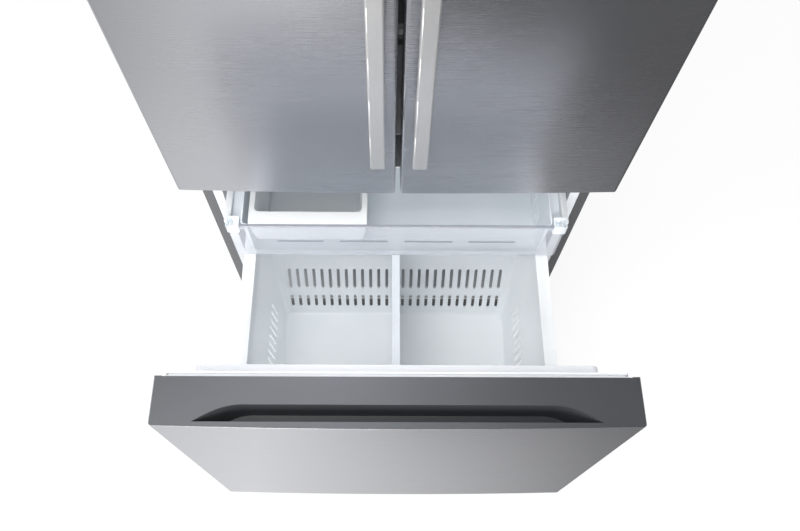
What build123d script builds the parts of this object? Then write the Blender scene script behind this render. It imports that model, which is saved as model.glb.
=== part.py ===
from build123d import *
import math
import os

# A French-door refrigerator with a bottom freezer drawer, standing on the floor.
# X runs across its width, Y from front to back and Z up. The floor is Z = 0 and
# the origin is under the middle of the whole, with the freezer drawer out.
# Everything is in millimetres.

# ---------------------------------------------------------------- overall sizes
width = 908.0  # over the side panels, the doors and the drawer front
case_height = 1746.0  # floor to the top panel
case_depth = 625.0  # front flange to rear panel
front_thickness = 98.0  # a door or the drawer front, side edge to back
front_bow = 6.0  # how far the fronts stand proud at the middle of the width
gasket_gap = 12.0  # closed front to cabinet flange
toe_gap = 62.0  # floor to drawer front
drawer_height = 645.0  # height of the drawer front
front_gap = 14.0  # drawer front to doors
door_gap = 10.0  # between the two doors
door_rise = 2.0  # door tops above the top panel
drawer_travel = 502.0  # how far the freezer drawer stands out
basket_travel = 149.5  # how far the upper basket stands out

# ---------------------------------------------------------- walls and clearances
sheet = 1.2  # steel panels and skins
liner_wall = 3.0  # formed plastic liners
tray_wall = 3.0  # moulded baskets and drawers
fit = 0.3  # between pieces that are fixed to each other
play = 0.5  # between pieces that slide or turn

# ----------------------------------------------------------------------- cabinet
flange_width = 23.0  # front flange of a side panel
rear_flange = 15.0  # rear flange of a side panel
side_wall = 45.0  # outside of the cabinet to inside of a liner
top_wall = 60.0  # top panel to the refrigerator's ceiling
rear_wall = 60.0  # rear panel to the refrigerator's rear wall
freezer_rear_wall = 45.0  # the same behind the freezer
skirt_bottom = 24.0  # floor to the side panels
pan_bottom = 44.0  # floor to the base pan
base_sheet = 1.5
freezer_floor = 108.0  # floor to the freezer's floor
mullion_top = 42.0  # door bottom to the refrigerator's floor
mullion_drop = 65.0  # door bottom down to the freezer's ceiling
mullion_depth = 30.0
liner_radius = 14.0
freezer_radius = 12.0
machine_depth = 200.0  # machine compartment at its foot, from the rear
machine_height = 262.0  # floor to its ceiling
step_wall = 40.0  # insulation over the machine compartment
step_slope = 0.5  # how far the step's face leans back, for each millimetre up
rib_count = 3  # pressed ribs of the rear panel
rib_width_rear = 24.0

# ------------------------------------------------------------- doors and drawer
skin_radius = 7.0
skin_lip = 14.0
cap_height = 22.0
cap_recess = 1.0
panel_wall = 3.0
pin_inset = 16.0  # hinge pin from the side of the door
pin_depth = 52.0  # hinge pin behind the front edge
pin_radius = 5.0
pin_length = 16.0
hinge_plate = 4.0
door_rib = 45.0  # the door liner's ribs stand this far into the compartment
rib_width = 25.0
rib_clearance = 10.0  # rib to liner wall
center_clear = 47.0  # rib to the middle of the door gap
gasket_width = 18.0
bin_depth = 112.0
bin_height = 92.0
bin_levels = (0.05, 0.37, 0.69)  # bin floors, as shares of the refrigerator's inside height
handle_width = 27.0
handle_gap = 25.5  # middle of the fridge to the handle's near edge
handle_depth = 17.0
handle_reach = 60.0  # door edge plane to the handle's face
handle_bottom = 137.0  # above the bottom of the door
handle_length = 760.0
post_inset = 56.0  # bar's end to the middle of a post
post_height = 55.0
post_width = 25.0
pocket_half = 377.0  # pocket grip, middle to tip
pocket_flat = 284.0  # middle to the end of its straight back edge
pocket_front = 8.5  # behind the front edge plane
pocket_back = 41.5
pocket_depth = 48.0
pocket_floor = 6.0
pocket_back_lean = 6.5  # how far its back leans forward on the way down
pocket_end_lean = 34.0
dyke_depth = 45.0  # raised panel inside the drawer front
dyke_half = 400.0
dyke_gap = 6.0  # raised panel to the freezer's floor and ceiling
dish_side = 70.0  # edge of the raised panel to its dish
dish_top = 90.0
flipper_length = 73.0
flipper_thick = 18.0
flipper_pivot = 30.0  # from the middle of the fridge
flipper_pin = 3.0

# --------------------------------------------------------------- freezer baskets
rim_drop = 256.0  # door bottom down to the lower basket's rim
basket_floor = 147.0
basket_slide_gap = 0.5  # basket's side to the moving slide members
basket_rim_side = 29.0
basket_rim_end = 10.0
basket_front_gap = 6.5
basket_side_lean = 0.1  # how far a side leans in, for each millimetre down
basket_front_lean = 0.03
basket_corner = 24.0
basket_edge = 10.0  # rounding along the floor
basket_slope_edge = 20.0  # rounding where the rear slope meets the sides
basket_step_gap = 11.0  # closed basket to the step's face
basket_shaft_gap = 2.5  # rear wall to the cross shaft
slot_pitch = 22.3
slot_count = 13  # slots each side of the divider
slot_width = 8.4
slot_rows = ((25.0, 61.0), (82.0, 139.0))  # above the basket's floor
side_slot_count = 9
side_slot_pitch = 21.8
side_slot_width = 6.4
side_slot_rows = (96.0, 158.0)  # above the basket's floor
upper_top = 127.0  # door bottom down to the upper basket's rim
upper_height = 124.0
upper_side = 56.0  # freezer's side to the upper basket
upper_depth = 400.0
upper_draft = 9.0
upper_slot_half_height = 3.6
upper_sill = 12.0
upper_lip = 24.5  # how far the side lips reach past the rim
lip_drop = 19.0  # rim to the side lips
upper_slots = ((20.5, 132.0), (170.0, 279.0))
upper_slot_drop = 63.0
upper_corner = 10.0  # lower corners of the front panel
upper_vent_count = 8  # slots in each side wall
upper_vent_pitch = 12.0
upper_vent_width = 4.0
upper_vent_start = 66.0  # basket's front to its first slot
upper_vent_rows = (14.0, 52.0)  # above its floor
ice_left = 336.0  # left of the middle
ice_right = 67.0
ice_rim_front = 33.0
ice_rim_side = 12.0
ice_depth = 320.0
ice_skirt = 62.0
divider_wall = 3.0
divider_bead = 18.0
divider_play = 1.0

# ------------------------------------------------------------------ drawer slides
slide_height = 36.0
slide_sheet = 2.0
slide_side = 64.5  # freezer's side to the inner face of the moving member
lobe_width = 7.5
lobe_gap = 6.0
slide_length = 500.0
slide_setback = 6.0  # behind the front flange
rail_foot_side = 12.0
rail_foot_drop = 50.0
bearing = 10.0  # half width of the shaft's bearing
gear_module = 2.5
gear_teeth = 12
pressure_angle = 25.0
gear_addendum = 2.2
gear_dedendum = 2.8
gear_backlash = 0.4
gear_width = 11.0
gear_lift = 0.15
shaft_radius = 4.0
shaft_to_cover = 12.0
shaft_drop = 6.0  # under the slides
fixed_step = 1.0  # the fixed member is this much lower at top and bottom
upper_web = 6.0  # web of the upper basket's slides
upper_web_height = 28.0
tongue_reach = 12.0
tongue_height = 8.0
slide_ledge = 21.0
bracket_front = 5.0  # upper basket's corner brackets
bracket_back = 24.0
bracket_side = 23.0  # freezer's side to the ends of the brackets

# --------------------------------------------------------------- refrigerator
shelf_front = 150.0  # behind the front flange
shelf_thick = 12.0
glass_thick = 4.0
glass_frame = 16.0
hook_half = 4.5  # half width of a shelf's hook plate
shelf_levels = (470.0, 700.0)  # above the refrigerator's floor
shelf_step = 70.0  # how much lower the shelves on the right are
crisper_height = 192.0
pantry_height = 105.0
crisper_gap = 8.0
track_width = 18.0
duct_half = 90.0
duct_depth = 16.0
vent_count = 5

# ------------------------------------------------------- machine compartment etc.
cover_wall = 3.0
evap_depth = 50.0  # cover front to the freezer's rear wall
evap_half = 335.0
evap_fan_radius = 55.0
evap_fan_drop = 110.0  # freezer ceiling to the fan's axis
fan_hub = 16.0
fan_thick = 16.0
fan_blades = 5
condenser_fan_radius = 62.0
roller_radius = 18.0
roller_width = 22.0
axle_radius = 4.0
roller_back = 60.0  # rear panel to the roller's axle
roller_side = 80.0  # side panel to the middle of the roller
foot_radius = 22.0
foot_height = 9.0
stem_radius = 6.0
foot_back = 40.0
foot_side = 74.0
grille_height = 42.0
compressor_radius = 74.0
compressor_height = 165.0
compressor_side = 150.0  # side panel to its axis
compressor_back = 84.0  # rear panel to its axis
condenser_side = 124.0  # its far end to the side panel
condenser_length = 200.0
condenser_height = 150.0
fan_back = 84.0  # rear panel to the condenser fan's axis

# ----------------------------------------------------------------- worked out
half = width / 2
door_bottom = toe_gap + drawer_height + front_gap
door_top = case_height + door_rise
drawer_top = toe_gap + drawer_height
front_to_flange = front_thickness + gasket_gap
total_depth = drawer_travel + front_bow + front_to_flange + case_depth
front_y = drawer_travel + front_bow - total_depth / 2
back_y = front_y + front_thickness
flange_y = back_y + gasket_gap
rear_y = flange_y + case_depth
skin_back = back_y - sheet - fit
liner_half = half - side_wall
upper_half = liner_half - upper_side
bracket_end = liner_half - bracket_side
slide_inner = liner_half - slide_side
basket_inner = slide_inner - basket_slide_gap - tray_wall
fridge_floor = door_bottom + mullion_top
fridge_top = case_height - top_wall
fridge_back = rear_y - rear_wall
freezer_top = door_bottom - mullion_drop
freezer_back = rear_y - freezer_rear_wall
pan_top = pan_bottom + base_sheet
machine_y = rear_y - machine_depth
step_y = machine_y - step_wall
step_z = machine_height + step_wall
step_top_y = step_y + step_slope * (step_z - freezer_floor)
machine_top_y = machine_y + step_slope * (machine_height - freezer_floor)
rim_z = door_bottom - rim_drop
dyke_y = back_y + dyke_depth
cover_y = freezer_back - evap_depth
rack_radius = gear_module * gear_teeth / 2
gear_pitch = math.pi * gear_module
pin_x = half - pin_inset
pin_y = front_y + pin_depth
middle_shift = drawer_travel / 2
slide_z1 = rim_z - tray_wall - fit
slide_z0 = slide_z1 - slide_height
web_x = slide_inner + slide_sheet
lobe_in = web_x + play
lobe_mid = lobe_in + lobe_width
lobe_out = lobe_mid + lobe_gap
lobe_end = lobe_out + lobe_width
fixed_web = lobe_end + play
shaft_z = slide_z0 - shaft_drop
shaft_y = cover_y - shaft_to_cover
rack_x0 = fixed_web + slide_sheet + play
rack_x1 = rack_x0 + gear_width + 1.0
pitch_z = shaft_z + rack_radius + gear_lift
slide_y0 = flange_y + slide_setback
slide_y1 = slide_y0 + slide_length


# ------------------------------------------------------------------- helpers
def rect(x0, x1, y0, y1, radius=0.0):
    """A rectangle between two corners, with rounded corners if radius is given."""
    middle = Pos((x0 + x1) / 2, (y0 + y1) / 2)
    if radius > 0:
        return middle * RectangleRounded(x1 - x0, y1 - y0, radius)
    return middle * Rectangle(x1 - x0, y1 - y0)


def slot(middle, low, high, width):
    """An upright slot with round ends, from its low end to its high end."""
    return Pos(middle, (low + high) / 2) * SlotOverall(high - low, width, rotation=90)


def up(section, z0, z1):
    """Extrude a plan (X, Y) section from height z0 to z1."""
    return extrude(Pos(0, 0, z0) * section, z1 - z0)


def back(section, y0, y1):
    """Extrude a front (X, Z) section from y0 back to y1."""
    return extrude(Plane.XZ.offset(-y1) * section, y1 - y0)


def across(section, x0, x1):
    """Extrude a side (Y, Z) section from x0 to x1."""
    return extrude(Plane.YZ.offset(x0) * section, x1 - x0)


def block(x0, x1, y0, y1, z0, z1):
    return up(rect(x0, x1, y0, y1), z0, z1)


def disc_x(x0, x1, y, z, radius):
    return across(Pos(y, z) * Circle(radius), x0, x1)


def disc_y(x, z, y0, y1, radius):
    return back(Pos(x, z) * Circle(radius), y0, y1)


def disc_z(x, y, z0, z1, radius):
    return up(Pos(x, y) * Circle(radius), z0, z1)


def other_side(piece):
    """The same piece on the other side of the refrigerator."""
    return mirror(piece, Plane.YZ)


def group(*pieces):
    """Separate solids that share one node."""
    solids = [solid for piece in pieces for solid in piece.solids()]
    return Compound(solids)


def both_sides(piece):
    return group(piece, other_side(piece))


def save(name, piece, shift=0.0):
    """Write one node, moved forward by shift to where it stands."""
    export_step(Pos(0, -shift, 0) * piece, "parts/" + name + ".step")


def tapered_tray(x0, x1, y0, y1, z0, z1, lean_side, lean_front, lean_back, wall, radius):
    """Outside and hollow of an open tray whose walls lean in towards its floor."""
    top = Pos(0, 0, z1) * rect(x0, x1, y0, y1, radius)
    low = rect(x0 + lean_side, x1 - lean_side, y0 + lean_front, y1 - lean_back, radius)
    outer = loft([Pos(0, 0, z0) * low, top])
    over = 1.0
    grow = over / (z1 - z0)
    high = rect(
        x0 + wall - lean_side * grow,
        x1 - wall + lean_side * grow,
        y0 + wall - lean_front * grow,
        y1 - wall + lean_back * grow,
        radius - wall,
    )
    floor = rect(
        x0 + lean_side + wall,
        x1 - lean_side - wall,
        y0 + lean_front + wall,
        y1 - lean_back - wall,
        radius - wall,
    )
    inner = loft([Pos(0, 0, z0 + wall) * floor, Pos(0, 0, z1 + over) * high])
    return outer, inner


# ------------------------------------------------------- doors and drawer front
def face_y(x):
    """Front surface of the fronts: one shallow crown over the whole width."""
    return front_y - front_bow * (1 - (x / half) ** 2)


def front_plan(x0, x1, inset, rear):
    """Plan of a door or the drawer front, set in from its outer surface."""
    a = x0 + inset
    b = x1 - inset
    middle = (a + b) / 2
    crown = ThreePointArc(
        (a, face_y(a) + inset), (middle, face_y(middle) + inset), (b, face_y(b) + inset)
    )
    rest = Polyline((b, face_y(b) + inset), (b, rear), (a, rear), (a, face_y(a) + inset))
    plan = make_face(Curve() + [crown, rest])
    corners = plan.vertices().sort_by(Axis.Y)[:2]
    return fillet(corners, skin_radius - inset)


def front_skin(x0, x1, z0, z1):
    """Folded steel skin: front, both sides and a lip along each side of the back."""
    outer = front_plan(x0, x1, 0.0, back_y)
    core = front_plan(x0, x1, sheet, back_y - sheet)
    opening = rect(x0 + skin_lip, x1 - skin_lip, back_y - 2 * sheet, back_y + sheet)
    return up(outer - core - opening, z0, z1)


def front_cap(x0, x1, z0, z1):
    """Moulded cap that closes an end of the skin."""
    return up(front_plan(x0, x1, sheet + fit, skin_back), z0, z1)


def ring_gasket(x0, x1, z0, z1):
    """Magnetic door seal: a base, a narrow bellows and the magnet strip."""
    start = skin_back + fit
    end = flange_y - fit
    base = (start, start + 3.5, 0.0)
    bellows = (start + 3.5, end - 4.5, gasket_width / 4)
    magnet = (end - 4.5, end, gasket_width / 10)
    seal = None
    for y0, y1, inset in (base, bellows, magnet):
        frame = rect(x0 + inset, x1 - inset, z0 + inset, z1 - inset, 6.0)
        w = gasket_width - inset
        frame = frame - rect(x0 + w, x1 - w, z0 + w, z1 - w, 3.0)
        layer = back(frame, y0, y1)
        seal = layer if seal is None else seal + layer
    return seal


door_x0 = door_gap / 2
rib_x0 = center_clear + door_gap / 2
rib_x1 = liner_half - rib_clearance
rib_z0 = fridge_floor + rib_clearance
rib_z1 = fridge_top - rib_clearance


def door_skin():
    return front_skin(door_x0, half, door_bottom, door_top)


def door_caps():
    """Top and bottom caps, each with the bush that the hinge pin turns in."""
    low = front_cap(door_x0, half, door_bottom + cap_recess, door_bottom + cap_height)
    high = front_cap(door_x0, half, door_top - cap_height, door_top - cap_recess)
    bore = Pos(pin_x, pin_y) * Circle(pin_radius + play)
    low = low - up(bore, door_bottom, door_bottom + pin_length + play)
    high = high - up(bore, door_top - pin_length - play, door_top)
    return group(low, high)


def door_liner():
    """Formed inner panel with a raised border that carries the bins."""
    z0 = door_bottom + cap_height + fit
    z1 = door_top - cap_height - fit
    sheet_x = sheet + fit
    plate = back(rect(door_x0 + sheet_x, half - sheet_x, z0, z1), skin_back - panel_wall, skin_back)
    border = rect(rib_x0, rib_x1, rib_z0, rib_z1, 20.0)
    inside = rect(rib_x0 + rib_width, rib_x1 - rib_width, rib_z0 + rib_width, rib_z1 - rib_width, 12.0)
    return plate + back(border - inside, skin_back, back_y + door_rib)


def door_gasket():
    return ring_gasket(door_x0 + skin_lip + 1, pin_x - 2, door_bottom + 24, door_top - 24)


def door_handle():
    """Bar handle, bowed along its length, on two oblong posts."""
    x0 = handle_gap
    x1 = handle_gap + handle_width
    z0 = door_bottom + handle_bottom
    z1 = z0 + handle_length
    middle = (z0 + z1) / 2
    face = front_y - handle_reach
    end_lift = 5.0
    inner = face + handle_depth
    outline = Curve() + [
        ThreePointArc((face + end_lift, z0), (face, middle), (face + end_lift, z1)),
        Line((face + end_lift, z1), (inner + end_lift, z1)),
        ThreePointArc((inner + end_lift, z1), (inner, middle), (inner + end_lift, z0)),
        Line((inner + end_lift, z0), (face + end_lift, z0)),
    ]
    bar = across(make_face(outline), x0, x1)
    bar = fillet(bar.edges().filter_by(GeomType.CIRCLE).group_by(Axis.Y)[0], 3.0)
    middle_x = (x0 + x1) / 2
    post_x = post_width / 2
    post_z = post_height / 2
    for z in (z0 + post_inset, z1 - post_inset):
        foot = rect(middle_x - post_x, middle_x + post_x, z - post_z, z + post_z, 6.0)
        bar = bar + back(foot, inner - handle_depth / 3, face_y(x0) - fit)
    return bar


def door_bins():
    """Lift-off bins between the border's ribs."""
    x0 = rib_x0 + rib_width + fit
    x1 = rib_x1 - rib_width - fit
    y0 = skin_back + fit
    bins = []
    for share in bin_levels:
        z0 = fridge_floor + share * (fridge_top - fridge_floor) + rib_clearance
        outer, inner = tapered_tray(
            x0, x1, y0, y0 + bin_depth, z0, z0 + bin_height, 0.0, 0.0, 14.0, tray_wall, 16.0
        )
        bins.append(outer - inner)
    return group(*bins)


# --------------------------------------------------------- flipper on left door
flipper_y = flange_y + fit + flipper_thick / 2 + play
flipper_z0 = rib_z0 + 8.0
flipper_z1 = rib_z1 - 8.0
hinge_levels = [flipper_z0 + (flipper_z1 - flipper_z0) * k / 4 for k in (0.4, 2.0, 3.6)]
hinge_thick = 9.0


def flipper_mullion():
    """Folded strip that seals the gap between the doors when it swings across."""
    r = flipper_thick / 2
    strip = rect(-flipper_pivot - r, -flipper_pivot + r, flipper_y, flipper_y + flipper_length - r, 4.0)
    strip = strip + Pos(-flipper_pivot, flipper_y) * Circle(r)
    strip = strip + rect(-flipper_pivot - r, -flipper_pivot + r, flipper_y, flipper_y + 2 * r)
    strip = strip - Pos(-flipper_pivot, flipper_y) * Circle(flipper_pin + play)
    piece = up(strip, flipper_z0, flipper_z1)
    for z in hinge_levels:
        notch = block(
            -flipper_pivot - r - 1, -flipper_pivot + r + 1, flipper_y - r - 1, flipper_y + r + 2,
            z - hinge_thick / 2 - play, z + hinge_thick / 2 + play,
        )
        piece = piece - notch
    return piece


def flipper_hinges():
    """Three small arms on the left door's border, each with a pivot pin."""
    arms = []
    for z in hinge_levels:
        arm = rect(-rib_x0 + fit, -flipper_pivot, flipper_y - 5, flipper_y + 5)
        arm = arm + Pos(-flipper_pivot, flipper_y) * Circle(5)
        solid = up(arm, z - hinge_thick / 2, z + hinge_thick / 2)
        pin = disc_z(-flipper_pivot, flipper_y, z - hinge_thick * 1.5, z + hinge_thick * 1.5, flipper_pin)
        arms.append(solid + pin)
    return group(*arms)


# ------------------------------------------------------------------ drawer front
def pocket_plan(front, rear, half_length, flat):
    """Boat-shaped outline of the pocket grip."""
    right = Spline((flat, rear), (half_length, front), tangents=[(1, 0), (1, -0.55)])
    left = Spline((-half_length, front), (-flat, rear), tangents=[(1, 0.55), (1, 0)])
    edges = [
        Line((-half_length, front), (half_length, front)),
        right,
        Line((flat, rear), (-flat, rear)),
        left,
    ]
    return make_face(Curve() + edges)


def drawer_caps():
    """Top cap with the pocket grip along its front edge, and the bottom cap."""
    low = front_cap(-half, half, toe_gap + cap_recess, toe_gap + cap_height)
    z1 = drawer_top
    z0 = z1 - pocket_depth - pocket_floor
    high = front_cap(-half, half, z0, z1)
    front = front_y + pocket_front
    rear = front_y + pocket_back
    mouth = pocket_plan(front, rear, pocket_half, pocket_flat)
    deep = pocket_plan(front, rear - pocket_back_lean, pocket_half - pocket_end_lean, pocket_flat - 10)
    high = high - loft([Pos(0, 0, z1 - pocket_depth) * deep, Pos(0, 0, z1) * mouth])
    return group(low, high)


def drawer_skin():
    return front_skin(-half, half, toe_gap, drawer_top)


def drawer_liner():
    """Inner panel of the drawer front: a raised, dished middle, notched for the rails."""
    z0 = toe_gap + cap_height + fit
    z1 = drawer_top - pocket_depth - pocket_floor - fit
    edge = sheet + fit
    plate = back(rect(-half + edge, half - edge, z0, z1), skin_back - panel_wall, skin_back)
    dyke_z1 = freezer_top - dyke_gap
    dyke_z0 = freezer_floor + dyke_gap
    raised = rect(-dyke_half, dyke_half, dyke_z0, dyke_z1, 16.0)
    dish = rect(-dyke_half + dish_side, dyke_half - dish_side, dyke_z0 + dish_side, dyke_z1 - dish_top, 30.0)
    slab = back(raised, skin_back - 1, dyke_y) - back(dish, dyke_y - dyke_depth * 0.6, dyke_y + 1)
    notch_z0 = slide_z0 - rail_foot_drop - 2
    for side in (-1, 1):
        inner = side * (slide_inner - rail_foot_side - 2)
        outer = side * (dyke_half + 1)
        notch = rect(min(inner, outer), max(inner, outer), notch_z0, slide_z1 + 2)
        slab = slab - back(notch, skin_back, dyke_y + 1)
    return plate + slab


def drawer_gasket():
    x = half - skin_lip - 1
    return ring_gasket(-x, x, toe_gap + 10, drawer_top - 6)


# ---------------------------------------------------------------- lower basket
basket_x = basket_inner + tray_wall
basket_y0 = dyke_y + basket_front_gap
front_wall_y = basket_y0 + basket_rim_end
rear_wall_y = shaft_y - shaft_radius - basket_shaft_gap
basket_y1 = rear_wall_y + basket_rim_end
floor_end_y = step_y + step_slope * (basket_floor - freezer_floor) - basket_step_gap
knee_z = basket_floor + (rear_wall_y - floor_end_y) / step_slope


def slope_y(z, inset):
    """Y of the basket's rear slope at a height, which keeps clear of the liner's step."""
    foot = floor_end_y - inset * math.hypot(1.0, step_slope)
    return foot + step_slope * (z - basket_floor)


def basket_rear(z, inset):
    """Y of the rear wall at a height: upright above its knee, sloped below."""
    return min(rear_wall_y - inset, slope_y(z, inset))


def basket_body(inset, top):
    """The basket as a leaning block, cut along the slope and rounded, inset from its outside."""
    plans = []
    for z in (basket_floor + inset, top):
        drop = rim_z - z
        x = basket_x - inset - basket_side_lean * drop
        y0 = front_wall_y + inset + basket_front_lean * drop
        plans.append(Pos(0, 0, z) * rect(-x, x, y0, rear_wall_y - inset, basket_corner - inset))
    top_y = slope_y(rim_z, inset)
    behind = make_face(Polyline((slope_y(0, inset), 0), (top_y, rim_z), (top_y, 0), close=True))
    body = loft(plans) - across(behind, -basket_x, basket_x)
    slope = body.faces().filter_by(lambda f: f.normal_at().Y > 0.5 and f.normal_at().Z < -0.3)[0]
    sides = slope.edges().filter_by(lambda e: abs(e.center().X) > basket_x / 2)
    body = fillet(sides, basket_slope_edge - inset)
    return fillet(body.faces().sort_by(Axis.Z)[0].edges(), basket_edge - inset)


def lower_basket():
    """Moulded basket: leaning walls, a wide rim and rows of air slots."""
    rim_x = basket_inner + basket_rim_side
    rim = up(rect(-rim_x, rim_x, basket_y0, basket_y1, basket_edge), rim_z - tray_wall, rim_z)
    tray = basket_body(0.0, rim_z) + rim - basket_body(tray_wall, rim_z + 1)
    holes = []
    for low, high in slot_rows:
        for k in range(-slot_count, slot_count + 1):
            if k != 0:
                hole = slot(k * slot_pitch, basket_floor + low, basket_floor + high, slot_width)
                holes.append(back(hole, floor_end_y - 2 * basket_edge, rear_wall_y + 1))
    low, high = side_slot_rows
    middle_z = basket_floor + (low + high) / 2
    middle_y = (front_wall_y + basket_rear(middle_z, 0.0)) / 2
    for k in range(side_slot_count):
        y = middle_y + (k - (side_slot_count - 1) / 2) * side_slot_pitch
        hole = slot(y, basket_floor + low, basket_floor + high, side_slot_width)
        holes.append(across(hole, -basket_x - 1, basket_x + 1))
    return tray - holes


def basket_divider():
    """Upright plate with a wide top bead that slides along the lower basket."""
    gap = tray_wall + divider_play
    z0 = basket_floor + gap
    z1 = rim_z - divider_play
    lean = basket_front_lean * (rim_z - z0)
    y0 = front_wall_y + gap
    y1 = rear_wall_y - gap
    outline = Polyline(
        (y0 + lean, z0), (basket_rear(z0, gap), z0), (y1, knee_z), (y1, z1), (y0, z1), close=True
    )
    corners = make_face(outline).vertices().group_by(Axis.Y)[0]
    plate = across(fillet(corners, basket_edge), -divider_wall / 2, divider_wall / 2)
    bead_inset = 4.0
    bead = rect(y0 + bead_inset, y1 - bead_inset, z1 - 5.0, z1, 1.5)
    return plate + across(bead, -divider_bead / 2, divider_bead / 2)


# ------------------------------------------------------------------ drawer slides
def channel(web0, web1, lip, z0, z1):
    """C section: an upright web with a lip at its top and bottom."""
    x0 = min(web0, lip)
    x1 = max(web1, lip)
    section = rect(x0, x1, z0, z1)
    if lip > web1:
        return section - rect(web1, x1 + 1, z0 + slide_sheet, z1 - slide_sheet)
    return section - rect(x0 - 1, web0, z0 + slide_sheet, z1 - slide_sheet)


def drawer_rails():
    """Moving slide members, bolted to the drawer front, with the shaft's bearings."""
    section = channel(slide_inner, web_x, lobe_mid - play, slide_z0, slide_z1)
    y0 = skin_back + fit
    rail = back(section, y0, shaft_y + bearing)
    foot = rect(slide_inner - rail_foot_side, web_x, slide_z0 - rail_foot_drop, slide_z1, 3.0)
    rail = rail + back(foot, y0, y0 + slide_sheet)
    ear = rect(shaft_y - bearing, shaft_y + bearing, shaft_z - bearing, slide_z0 + 6, 5.0)
    rail = rail + across(ear, slide_inner, web_x)
    rail = rail - disc_x(slide_inner - 1, web_x + 1, shaft_y, shaft_z, shaft_radius + play / 2)
    return both_sides(rail)


def drawer_slide_middle():
    """Middle slide members: two lobes joined by a web, one inside each channel."""
    z0 = slide_z0 + fixed_step + slide_sheet + play
    z1 = slide_z1 - fixed_step - slide_sheet - play
    middle = (z0 + z1) / 2
    section = rect(lobe_in, lobe_mid, z0, z1, 2.0) + rect(lobe_out, lobe_end, z0, z1, 2.0)
    section = section + rect(lobe_mid - 1, lobe_out + 1, middle - 5, middle + 5)
    return both_sides(back(section, slide_y0, slide_y1))


def drawer_slide_fixed():
    """Fixed slide members with the arm that holds each to the freezer's side."""
    web1 = fixed_web + slide_sheet
    z1 = slide_z1 - fixed_step
    wall_x = liner_half - fit
    section = channel(fixed_web, web1, lobe_out + play, slide_z0 + fixed_step, z1)
    section = section + rect(fixed_web, wall_x, z1 - slide_sheet, z1)
    section = section + rect(wall_x - slide_sheet, wall_x, slide_z0 + 8, z1)
    return both_sides(back(section, slide_y0, slide_y1))


def rack_outline(first, last):
    """Toothed strip in (Y, Z): straight-sided teeth that point down."""
    slope = math.tan(math.radians(pressure_angle))
    quarter = gear_pitch / 4
    root = pitch_z + gear_dedendum
    tip = pitch_z - gear_addendum
    top = slide_z1 - fixed_step - slide_sheet - fit
    points = []
    for k in range(first, last):
        gap_middle = shaft_y - drawer_travel + k * gear_pitch
        land = quarter - slope * gear_addendum
        floor_half = quarter - slope * gear_dedendum
        start = gap_middle + gear_pitch / 2
        points.append((start - land - 2 * (quarter - land), root))
        points.append((start - land, tip))
        points.append((start + land, tip))
        points.append((gap_middle + gear_pitch - floor_half, root))
    points.append((points[-1][0], top))
    points.append((points[0][0], top))
    return make_face(Polyline(*points, close=True))


def drawer_racks():
    """Racks under the fixed slides' arms, in mesh with the shaft's pinions."""
    count = math.ceil(drawer_travel / gear_pitch) + 1
    strip = across(rack_outline(-1, count), rack_x0, rack_x1)
    return both_sides(strip)


def pinion_section():
    """Involute pinion in (Y, Z) about its own axis, one tooth pointing up."""
    angle = math.radians(pressure_angle)
    base = rack_radius * math.cos(angle)
    tip = rack_radius + gear_addendum
    root = rack_radius - gear_dedendum
    half_tooth = (gear_pitch / 2 - gear_backlash) / 2 / rack_radius
    inv = math.tan(angle) - angle
    steps = 4
    points = []
    for tooth in range(gear_teeth):
        centre = math.pi / 2 + tooth * 2 * math.pi / gear_teeth
        flank = []
        for k in range(steps + 1):
            r = base + (tip - base) * k / steps
            a = math.acos(min(1.0, base / r))
            flank.append((r, half_tooth + inv - (math.tan(a) - a)))
        flank.insert(0, (root, flank[0][1]))
        for r, offset in flank:
            points.append((r * math.cos(centre - offset), r * math.sin(centre - offset)))
        for r, offset in reversed(flank):
            points.append((r * math.cos(centre + offset), r * math.sin(centre + offset)))
    return make_face(Polyline(*points, close=True))


def anti_tilt_shaft():
    """Cross shaft with a pinion at each end, so both sides of the drawer keep level."""
    middle = (rack_x0 + rack_x1) / 2
    shaft = disc_x(-middle - gear_width / 2, middle + gear_width / 2, shaft_y, shaft_z, shaft_radius)
    for side in (-1, 1):
        x = side * middle
        gear = across(Pos(shaft_y, shaft_z) * pinion_section(), x - gear_width / 2, x + gear_width / 2)
        inner = side * (web_x + play)
        outer = side * (web_x + play + 3)
        collar = disc_x(min(inner, outer), max(inner, outer), shaft_y, shaft_z, shaft_radius + 1.5)
        shaft = shaft + gear + collar
    return shaft


# ------------------------------------------------------------------ upper basket
upper_z1 = door_bottom - upper_top
upper_z0 = upper_z1 - upper_height
upper_y0 = dyke_y + basket_front_gap
upper_y1 = upper_y0 + upper_depth
lip_z = upper_z1 - lip_drop
ledge_z = lip_z - tray_wall - fit
lip_x = upper_half + upper_lip
slide_web = lip_x + play
web_end = slide_web + upper_web
tongue_x1 = web_end + tongue_reach
upper_web_z = ledge_z - upper_web_height / 2 + 2.0
tongue_z = upper_web_z + upper_web_height / 2 - tongue_height


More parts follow.
